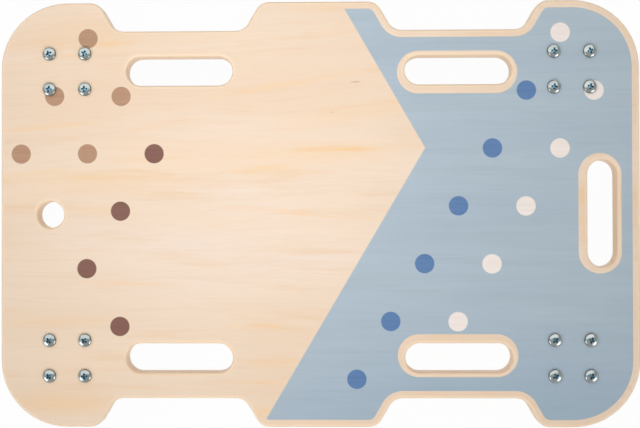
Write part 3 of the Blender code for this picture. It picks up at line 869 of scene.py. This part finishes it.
def mixed(tree, share, first, second):
    """A blend of two colours, each a colour or another node's output."""
    return add_node(tree, "ShaderNodeMix", {0: share, 6: first, 7: second}, data_type="RGBA")[2]


def ranged(tree, value, low, high, to_low=0.0, to_high=1.0):
    """A value spread from one range smoothly onto another."""
    ends = {"Value": value, "From Min": low, "From Max": high, "To Min": to_low, "To Max": to_high}
    return add_node(tree, "ShaderNodeMapRange", ends, interpolation_type="SMOOTHSTEP")["Result"]


def noise(tree, place, scale, detail=2.0, roughness=0.5):
    """Noise at (x, y, z) repeats per metre."""
    scaled = add_node(tree, "ShaderNodeMapping", {"Vector": place, "Scale": scale})["Vector"]
    return add_node(tree, "ShaderNodeTexNoise", {
        "Vector": scaled, "Scale": 1.0, "Detail": detail, "Roughness": roughness})["Fac"]


def swing(tree, place, scale, detail, roughness, reach):
    """Noise to either side of 0, over this whole reach."""
    centred = maths(tree, "SUBTRACT", noise(tree, place, scale, detail, roughness), 0.5)
    return maths(tree, "MULTIPLY", centred, reach)


def object_place(tree):
    """The place on the piece, in metres."""
    return tree.nodes.new("ShaderNodeTexCoord").outputs["Object"]


def new_finish(name, roughness, metallic=0.0, coat=0.0):
    """A new material, with its tree and shader and the place on its piece."""
    material = bpy.data.materials.new(name)
    material.use_nodes = True
    tree = material.node_tree
    shader = tree.nodes["Principled BSDF"]
    wire(tree, shader, {"Roughness": roughness, "Metallic": metallic, "Coat Weight": coat,
                        "Coat Roughness": COAT_ROUGHNESS})
    return material, tree, shader, object_place(tree)


def dress(tree, shader, colour, roughness, height, depth, strength):
    """Gives a shader its colour, its roughness and its relief, whose depth is in metres."""
    relief = add_node(tree, "ShaderNodeBump", {"Strength": strength, "Distance": depth, "Height": height})
    wire(tree, shader, {"Base Color": colour, "Roughness": roughness, "Normal": relief["Normal"]})


def grain_mark_group():
    """A long soft-ended mark along the grain: its share in the middle, 0 outside."""
    tree, given = new_tree("ShaderNodeTree", "grain_mark", {
        "Place": "Vector", "Centre": "Vector", "Half Length": "Float", "Half Width": "Float", "Lean": "Float",
        "Share": "Float"}, {"Mark": "Float"})
    ends = {0: given["Place"], 1: given["Centre"]}
    offset = add_node(tree, "ShaderNodeVectorMath", ends, operation="SUBTRACT")["Vector"]
    x, y, _ = split(tree, offset)
    along = maths(tree, "DIVIDE", x, given["Half Length"])
    rise = maths(tree, "SUBTRACT", y, maths(tree, "MULTIPLY", x, given["Lean"]))
    across = maths(tree, "DIVIDE", rise, given["Half Width"])
    squares = [maths(tree, "POWER", maths(tree, "ABSOLUTE", way), 2.0) for way in (along, across)]
    away = maths(tree, "SQRT", maths(tree, "ADD", *squares))
    mark = maths(tree, "MULTIPLY", ranged(tree, away, 0.0, 1.5, 1.0, 0.0), given["Share"])
    add_node(tree, "NodeGroupOutput", {"Mark": mark})
    return tree


def strongest(tree, shares):
    """The greatest of several shares."""
    greatest = shares[0]
    for share in shares[1:]:
        greatest = maths(tree, "MAXIMUM", greatest, share)
    return greatest


def grain_marks(tree, place, marks):
    """The strongest of several marks at a place."""
    found = []
    for x, y, half_length, half_width, lean, share in marks:
        found.append(add_node(tree, "ShaderNodeGroup", {
            "Place": place, "Centre": (x / 1000, y / 1000, 0), "Half Length": half_length / 1000,
            "Half Width": half_width / 1000, "Lean": lean, "Share": share}, node_tree=grain_mark)["Mark"])
    return strongest(tree, found)


def face_veneer_group():
    """Pale face veneer whose grain runs along the deck: its colour and its relief."""
    tree, given = new_tree("ShaderNodeTree", "face_veneer", {"Place": "Vector"},
                           {"Colour": "Color", "Relief": "Float"})
    place = given["Place"]
    x, y, z = split(tree, place)
    lean = maths(tree, "ADD", maths(tree, "MULTIPLY", y, 0.4), 0.02)
    sway = swing(tree, place, (3.5, 8, 8), 2, 0.5, 0.03)
    ripple = swing(tree, place, (16, 40, 40), 2, 0.5, 0.007)
    waved = maths(tree, "ADD", y, maths(tree, "ADD", sway, ripple))
    along = combined(tree, x, maths(tree, "SUBTRACT", waved, maths(tree, "MULTIPLY", x, lean)), z)
    feather = maths(tree, "SUBTRACT", noise(tree, place, (14, 110, 110), 4, 0.65), 0.5)
    ragged = combined(tree, maths(tree, "ADD", x, maths(tree, "MULTIPLY", feather, 0.06)),
                      maths(tree, "ADD", y, maths(tree, "MULTIPLY", feather, 0.011)))
    broad = ranged(tree, noise(tree, along, (2.5, 14, 14), 2), 0.32, 0.68)
    streaks = ranged(tree, noise(tree, along, (9, 95, 95), 4, 0.6), 0.5, 0.78)
    lines = ranged(tree, noise(tree, along, (11, 300, 300), 4, 0.65), 0.45, 0.75)
    fibre = noise(tree, place, (45, 1700, 1700), 2)
    amber = maths(tree, "MULTIPLY", grain_marks(tree, ragged, AMBER_STREAKS),
                  ranged(tree, streaks, 0.0, 0.8, 0.55, 1.0))
    colour = mixed(tree, broad, VENEER, VENEER_DEEP)
    for share, tone in ((grain_marks(tree, ragged, PALE_PATCHES), VENEER_PALE),
                        (maths(tree, "MULTIPLY", streaks, 0.56), VENEER_STREAK),
                        (maths(tree, "MULTIPLY", lines, 0.17), VENEER_LINE),
                        (amber, VENEER_AMBER),
                        (ranged(tree, fibre, 0.35, 0.75, 0.0, 0.12), VENEER_FIBRE),
                        (grain_marks(tree, place, FLECKS), VENEER_FLECK)):
        colour = mixed(tree, share, colour, tone)
    relief = maths(tree, "ADD", maths(tree, "MULTIPLY", lines, 0.3), fibre)
    add_node(tree, "NodeGroupOutput", {"Colour": colour, "Relief": relief})
    return tree


def dot_row_group():
    """A straight row of equal round dots: 1 inside a dot, 0 outside."""
    tree, given = new_tree("ShaderNodeTree", "dot_row", {
        "Place": "Vector", "Start": "Vector", "Step": "Vector", "Last": "Float"}, {"Inside": "Float"})

    def vector(operation, first, second, output="Vector"):
        side = "Scale" if operation == "SCALE" else 1
        return add_node(tree, "ShaderNodeVectorMath", {0: first, side: second}, operation=operation)[output]

    offset = vector("SUBTRACT", given["Place"], given["Start"])
    along = vector("DOT_PRODUCT", offset, given["Step"], "Value")
    stride = vector("DOT_PRODUCT", given["Step"], given["Step"], "Value")
    number = maths(tree, "ROUND", maths(tree, "DIVIDE", along, stride))
    number = maths(tree, "MINIMUM", maths(tree, "MAXIMUM", number, 0.0), given["Last"])
    away = vector("DISTANCE", offset, vector("SCALE", given["Step"], number), "Value")
    inside = ranged(tree, away, DOT_RADIUS - PRINT_SOFTNESS, DOT_RADIUS + PRINT_SOFTNESS, 1.0, 0.0)
    add_node(tree, "NodeGroupOutput", {"Inside": inside})
    return tree


def dots(tree, place, rows):
    """The union of several rows of dots, each (start, step, count) in millimetres."""
    found = []
    for start, step, count in rows:
        start, step = [(x / 1000, y / 1000, 0) for x, y in (start, step)]
        found.append(add_node(tree, "ShaderNodeGroup", {
            "Place": place, "Start": start, "Step": step, "Last": count - 1}, node_tree=dot_row)["Inside"])
    return strongest(tree, found)


def veneer(tree, place):
    """The veneer's colour and relief at a place."""
    group = add_node(tree, "ShaderNodeGroup", {"Place": place}, node_tree=face_veneer)
    return group["Colour"], group["Relief"]


def printed_field(tree, x, y):
    """1 on the printed part of the top: all that isn't behind the pointed edge."""
    reach = maths(tree, "SUBTRACT", y, FIELD_TIP[1])
    run_back = maths(tree, "MAXIMUM", maths(tree, "DIVIDE", reach, math.tan(BACK_SLOPE)),
                     maths(tree, "DIVIDE", reach, -math.tan(FRONT_SLOPE)))
    edge = maths(tree, "SUBTRACT", FIELD_TIP[0], run_back)
    beyond = maths(tree, "MULTIPLY", maths(tree, "SUBTRACT", x, edge), math.sin(FRONT_SLOPE))
    return ranged(tree, beyond, -PRINT_SOFTNESS, PRINT_SOFTNESS)


def field_ink(tree, place, on_top, streak):
    """The grey-blue ink of the field, clouded and streaked along the grain, and darkened towards the bottom
    right by painted shade.
    """
    cloud = noise(tree, place, (6, 30, 30), 3)
    band = noise(tree, place, (8, 130, 130), 3, 0.6)
    blue = mixed(tree, cloud, FIELD_BLUE, FIELD_DEEP)
    blue = mixed(tree, ranged(tree, band, 0.42, 0.72, 0.0, 0.36), blue, FIELD_BAND)
    blue = mixed(tree, ranged(tree, streak, 0.45, 0.8, 0.0, 0.42), blue, FIELD_STREAK)
    # Painted shade: the field is darkened towards the bottom right, where the light falls off.
    return mixed(tree, grain_marks(tree, on_top, FIELD_PAINTED_SHADE_MARKS), blue, FIELD_PAINTED_SHADE_BLUE)


def top_finish(name, with_field):
    """The deck's top: lacquered veneer with printed dots and, inside the margin, a grey-blue field."""
    material, tree, shader, place = new_finish(name, 0.5, coat=0.12)
    x, y, _ = split(tree, place)
    on_top = combined(tree, x, y)
    colour, relief = veneer(tree, place)
    streak = noise(tree, place, (14, 420, 420), 3, 0.6)
    if with_field:
        colour = mixed(tree, printed_field(tree, x, y), colour, field_ink(tree, place, on_top, streak))
    over_grain = ranged(tree, streak, 0.3, 0.8, 0.0, 0.8)
    for rows, tone, grain_tone in DOT_INKS:
        ink = mixed(tree, over_grain, tone, grain_tone)
        colour = mixed(tree, dots(tree, on_top, rows), colour, ink)
    dress(tree, shader, colour, ranged(tree, relief, 0.3, 1.1, 0.42, 0.58), relief, 0.00008, 0.35)
    return material


def underside_finish():
    """The deck's underside: another sheet of the same veneer, a little duller and unprinted."""
    material, tree, shader, place = new_finish("bare_underside", 0.6)
    other_sheet = add_node(tree, "ShaderNodeMapping", {
        "Vector": place, "Location": (0.12, -0.07, 0), "Scale": (-1, 1, 1)})["Vector"]
    colour, relief = veneer(tree, other_sheet)
    dull = ranged(tree, noise(tree, place, (5, 22, 5), 3), 0.35, 0.7, 0.05, 0.35)
    colour = mixed(tree, dull, colour, VENEER_DULL)
    dress(tree, shader, colour, ranged(tree, relief, 0.3, 1.1, 0.5, 0.68), relief, 0.0001, 0.4)
    return material


def edge_finish():
    """The routed edges: thin plies of alternate grain, warm and smoothly sanded."""
    material, tree, shader, place = new_finish("routed_plies", 0.5, coat=0.08)
    plies = (DECK_HIGH.z - DECK_LOW.z) / PLY
    waver = swing(tree, place, (18, 18, 60), 2, 0.5, 0.0007)
    height = maths(tree, "SUBTRACT", split(tree, place)[2], DECK_LOW.z)
    depth = maths(tree, "DIVIDE", maths(tree, "ADD", height, waver), PLY)
    between = maths(tree, "MINIMUM", maths(tree, "MAXIMUM", depth, 0.5), plies - 0.5)
    pair = maths(tree, "PINGPONG", between, 1.0)
    cross = ranged(tree, maths(tree, "PINGPONG", maths(tree, "ADD", depth, 0.5), 1.0), 0.44, 0.56)
    to_joint = maths(tree, "MINIMUM", pair, maths(tree, "SUBTRACT", 1.0, pair))
    glue = ranged(tree, to_joint, 0.0, 0.07, 0.25, 0.0)
    long_grain = noise(tree, place, (9, 9, 900), 3, 0.6)
    end_grain = noise(tree, place, (1400, 1400, 1400), 2)
    long_tone = ranged(tree, long_grain, 0.3, 0.75)
    from_middle = maths(tree, "ABSOLUTE", maths(tree, "SUBTRACT", between, plies / 2))
    in_core = ranged(tree, from_middle, plies / 2 - 1.2, plies / 2 - 1.0, 1.0, 0.0)
    with_grain = mixed(tree, in_core, mixed(tree, long_tone, *FACE_PLY), mixed(tree, long_tone, *CORE_PLY))
    against = mixed(tree, ranged(tree, end_grain, 0.3, 0.75), *CROSS_PLY)
    colour = mixed(tree, glue, mixed(tree, cross, against, with_grain), GLUE_LINE)
    relief = maths(tree, "ADD", long_grain, maths(tree, "MULTIPLY", cross, end_grain))
    dress(tree, shader, colour, ranged(tree, end_grain, 0.3, 0.8, 0.42, 0.6), relief, 0.0001, 0.3)
    return material


def metal_finish(name, painted_shades=()):
    """Zinc plate or bare steel: faintly cloudy, with fine rolling marks or scratches.

    Each (attribute, colour) pair paints shade in that colour over what the piece marks with that attribute.
    """
    bright, dull, roughness, grain = METALS[name]
    material, tree, shader, place = new_finish(name, roughness, metallic=1.0)
    cloud = noise(tree, place, (160, 160, 160), 3, 0.6)
    marks = noise(tree, place, grain, 3, 0.7)
    colour = mixed(tree, ranged(tree, cloud, 0.3, 0.7), bright, dull)
    # Painted shade, wherever the piece's attributes mark it.
    for attribute, shade_colour in painted_shades:
        marked = add_node(tree, "ShaderNodeAttribute", {}, attribute_name=attribute)["Fac"]
        colour = mixed(tree, marked, colour, shade_colour)
    rough = maths(tree, "ADD", ranged(tree, marks, 0.3, 0.75, roughness - 0.07, roughness + 0.07),
                  ranged(tree, cloud, 0.3, 0.7, -0.04, 0.06))
    dress(tree, shader, colour, rough, marks, 0.00003, 0.3)
    return material


def rubber_finish():
    """Matt grey rubber with a fine moulded skin and a dusty tread."""
    material, tree, shader, place = new_finish("grey_rubber", 0.8)
    skin = noise(tree, place, (2600, 2600, 2600), 3, 0.6)
    dust = noise(tree, place, (120, 120, 120), 4, 0.6)
    colour = mixed(tree, ranged(tree, dust, 0.35, 0.7), *RUBBER_GREY)
    dress(tree, shader, colour, ranged(tree, dust, 0.3, 0.75, 0.7, 0.9), skin, 0.0001, 0.35)
    return material


def hub_finish():
    """Light grey moulded plastic with a faint orange-peel skin."""
    material, tree, shader, place = new_finish("hub_plastic", 0.45)
    peel = noise(tree, place, (900, 900, 900), 2)
    flow = noise(tree, place, (90, 90, 90), 3, 0.6)
    colour = mixed(tree, ranged(tree, flow, 0.3, 0.7), *HUB_GREY)
    dress(tree, shader, colour, ranged(tree, peel, 0.3, 0.75, 0.38, 0.52), peel, 0.00006, 0.3)
    return material


# Assembly


def add_piece(name, mesh, body, nodes, finishes=()):
    """A finished piece at the origin, riding on its body in place of its CAD nodes."""
    for finish in finishes:
        mesh.materials.append(finish)
    obj = add_object(name, mesh)
    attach(obj, body)
    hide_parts(*nodes)


def placed(mesh, corner):
    """A copy of a castor's mesh at its corner of the board."""
    copy = mesh.copy()
    centre = castor_place(corner)
    copy.transform(Matrix.Translation((centre.x, centre.y, 0)))
    return copy


def add_deck():
    """The deck, with its finishes in the order of their face numbers."""
    finishes = [top_finish("printed_top", True), edge_finish(), underside_finish(),
                top_finish("bare_margin", False)]
    add_piece("veneered_deck", fine_deck(), "board", ["deck"], finishes)


def add_fasteners():
    """The screws and their nuts, each set on the points of the four castor patterns."""
    points = bpy.data.meshes.new("screw_points")
    points.from_pydata([(x, y, 0) for corner in CORNERS for x, y in screw_places(corner)], [], [])
    turns = points.attributes.new("turn", "FLOAT", "POINT")
    degrees = [turn for corner in CORNERS for turn in SCREW_TURNS[corner]]
    turns.data.foreach_set("value", [math.radians(turn) for turn in degrees])
    tree = fastener_tree()
    for kind, mesh, slot, painted_shades in (("screw", screw_mesh(), "screw_zinc", HEAD_PAINTED_SHADES),
                                    ("nut", nut_mesh(), "nut_zinc", ())):
        source = add_object(kind, mesh)
        finish = metal_finish(slot, painted_shades)
        made = grown(points.copy(), tree, {"Fastener": source, "Finish": finish})
        bpy.data.objects.remove(source)
        nodes = [f"{corner}_{kind}_{number}" for corner in CORNERS for number in (1, 2, 3, 4)]
        add_piece(f"deck_{kind}s", made, "board", nodes)


def add_castors():
    """The four castors, piece by piece."""
    hub = on_axle(grown(hub_blank(), rib_tree(), {
        "Ribs": RIBS, "Boss Radius": HUB_BOSS - RIB_ROOT, "Rim Radius": HUB_RIM_INNER + RIB_END,
        "Thickness": RIB_THICKNESS, "Width": RIB_WIDTH, "Finish": hub_finish()}))
    pieces = (  # name, mesh, kind of body, node, slot, finishes
        ("fixing_plate", top_plate_mesh(), "board", "top_plate", "plate_steel", [metal_finish("plate_zinc")]),
        ("swivel_rivet", kingpin_mesh(), "board", "kingpin", "pin_steel", [metal_finish("pin_zinc")]),
        ("pressed_fork", fork_mesh(), "castor", "fork", "fork_steel", [metal_finish("fork_zinc")]),
        ("wheel_axle", axle_mesh(), "castor", "axle", "axle_steel", [metal_finish("axle_zinc")]),
        ("ribbed_hub", hub, "wheel", "wheel_hub", "hub_plastic", []),
        ("rubber_tyre", tyre_mesh(), "wheel", "tyre", "tyre_rubber", [rubber_finish()]),
    )
    race = ball_race_tree()
    ball_steel = metal_finish("ball_steel")
    for corner in CORNERS:
        bodies = {"board": "board", "castor": f"{corner}_castor", "wheel": f"{corner}_wheel"}
        for name, mesh, body, node, slot, finishes in pieces:
            add_piece(f"{corner}_{name}", placed(mesh, corner), bodies[body], [f"{corner}_{node}"],
                      finishes)
        centre = castor_place(corner)
        balls = grown(bpy.data.meshes.new("race"), race, {
            "Balls": BALLS, "Ball Radius": BALL_RADIUS, "Race Radius": RACE_RADIUS,
            "Place": (centre.x, centre.y, BALL_LEVEL), "Finish": ball_steel})
        add_piece(f"{corner}_race_balls", balls, bodies["castor"], [f"{corner}_fork"])


# Floor, light and camera


def seen_share(tree):
    """1 for what is seen, straight, in metal or through glass, and 0 for light that falls on the board."""
    path = tree.nodes.new("ShaderNodeLightPath").outputs
    return strongest(tree, [path[f"Is {ray} Ray"] for ray in ("Camera", "Glossy", "Transmission")])


def add_floor():
    """A wide white floor, which keeps a faint shadow of the board."""
    mesh = bpy.data.meshes.new("floor")
    corners = [(x * FLOOR_REACH, y * FLOOR_REACH, 0) for x, y in ((-1, -1), (1, -1), (1, 1), (-1, 1))]
    mesh.from_pydata(corners, [], [(0, 1, 2, 3)])
    floor = add_object("floor", mesh)
    material = bpy.data.materials.new("white_floor")
    material.use_nodes = True
    tree = material.node_tree
    tree.nodes.clear()
    matt = add_node(tree, "ShaderNodeBsdfDiffuse", {"Color": FLOOR_WHITE})["BSDF"]
    glow = add_node(tree, "ShaderNodeEmission", {"Color": WHITE, "Strength": 1.0})["Emission"]
    share = maths(tree, "MULTIPLY", seen_share(tree), FLOOR_GLOW)
    both = add_node(tree, "ShaderNodeMixShader", {"Fac": share, 1: matt, 2: glow})["Shader"]
    add_node(tree, "ShaderNodeOutputMaterial", {"Surface": both})
    mesh.materials.append(material)


def add_lamp(kind, name, power, place, aim, **settings):
    """A lamp at a place, facing a point."""
    lamp = bpy.data.lights.new(name, kind)
    lamp.energy = power
    for setting, value in settings.items():
        setattr(lamp, setting, value)
    obj = add_object(name, lamp)
    obj.location = place
    obj.rotation_euler = (Vector(aim) - Vector(place)).to_track_quat("-Z", "Y").to_euler()
    return obj


def add_light():
    """A room that is paler in front, with a white backdrop low down, and the lamps.

    Three spots, whose pools fade out evenly, leave no mirror image in the metal. Of three oblong panels,
    a large one is behind the board and two are before it, to the sides.
    """
    world = bpy.data.worlds.new("studio")
    bpy.context.scene.world = world
    world.use_nodes = True
    tree = world.node_tree
    _, y, z = split(tree, tree.nodes.new("ShaderNodeTexCoord").outputs["Generated"])
    room = mixed(tree, ranged(tree, y, -0.1, 0.6), ROOM_FRONT, ROOM_BACK)
    backdrop = maths(tree, "MULTIPLY", seen_share(tree), ranged(tree, z, *BACKDROP_TOP, 1.0, 0.0))
    wire(tree, tree.nodes["Background"], {"Color": mixed(tree, backdrop, room, WHITE)})
    for name, power, spread, place, aim in SPOTS:
        spot = add_lamp("SPOT", name, power, place, aim, spot_size=math.radians(spread), spot_blend=1.0,
                        shadow_soft_size=SPOT_RADIUS)
        spot.visible_glossy = False
    for name, power, width, height, place, aim in PANELS:
        add_lamp("AREA", name, power, place, aim, shape="RECTANGLE", size=width, size_y=height)


def add_camera():
    """The camera above the board, as the photograph was taken."""
    camera = bpy.data.cameras.new("camera")
    camera.sensor_fit = "HORIZONTAL"
    camera.sensor_width = CAMERA_SENSOR
    camera.lens = CAMERA_LENS
    obj = add_object("camera", camera)
    obj.location = CAMERA_PLACE
    obj.rotation_euler = [math.radians(angle) for angle in CAMERA_TURN]
    bpy.context.scene.camera = obj


bpy.context.scene.view_settings.view_transform = "Standard"
grain_mark = grain_mark_group()
face_veneer = face_veneer_group()
dot_row = dot_row_group()
add_deck()
add_fasteners()
add_castors()
add_floor()
add_light()
add_camera()
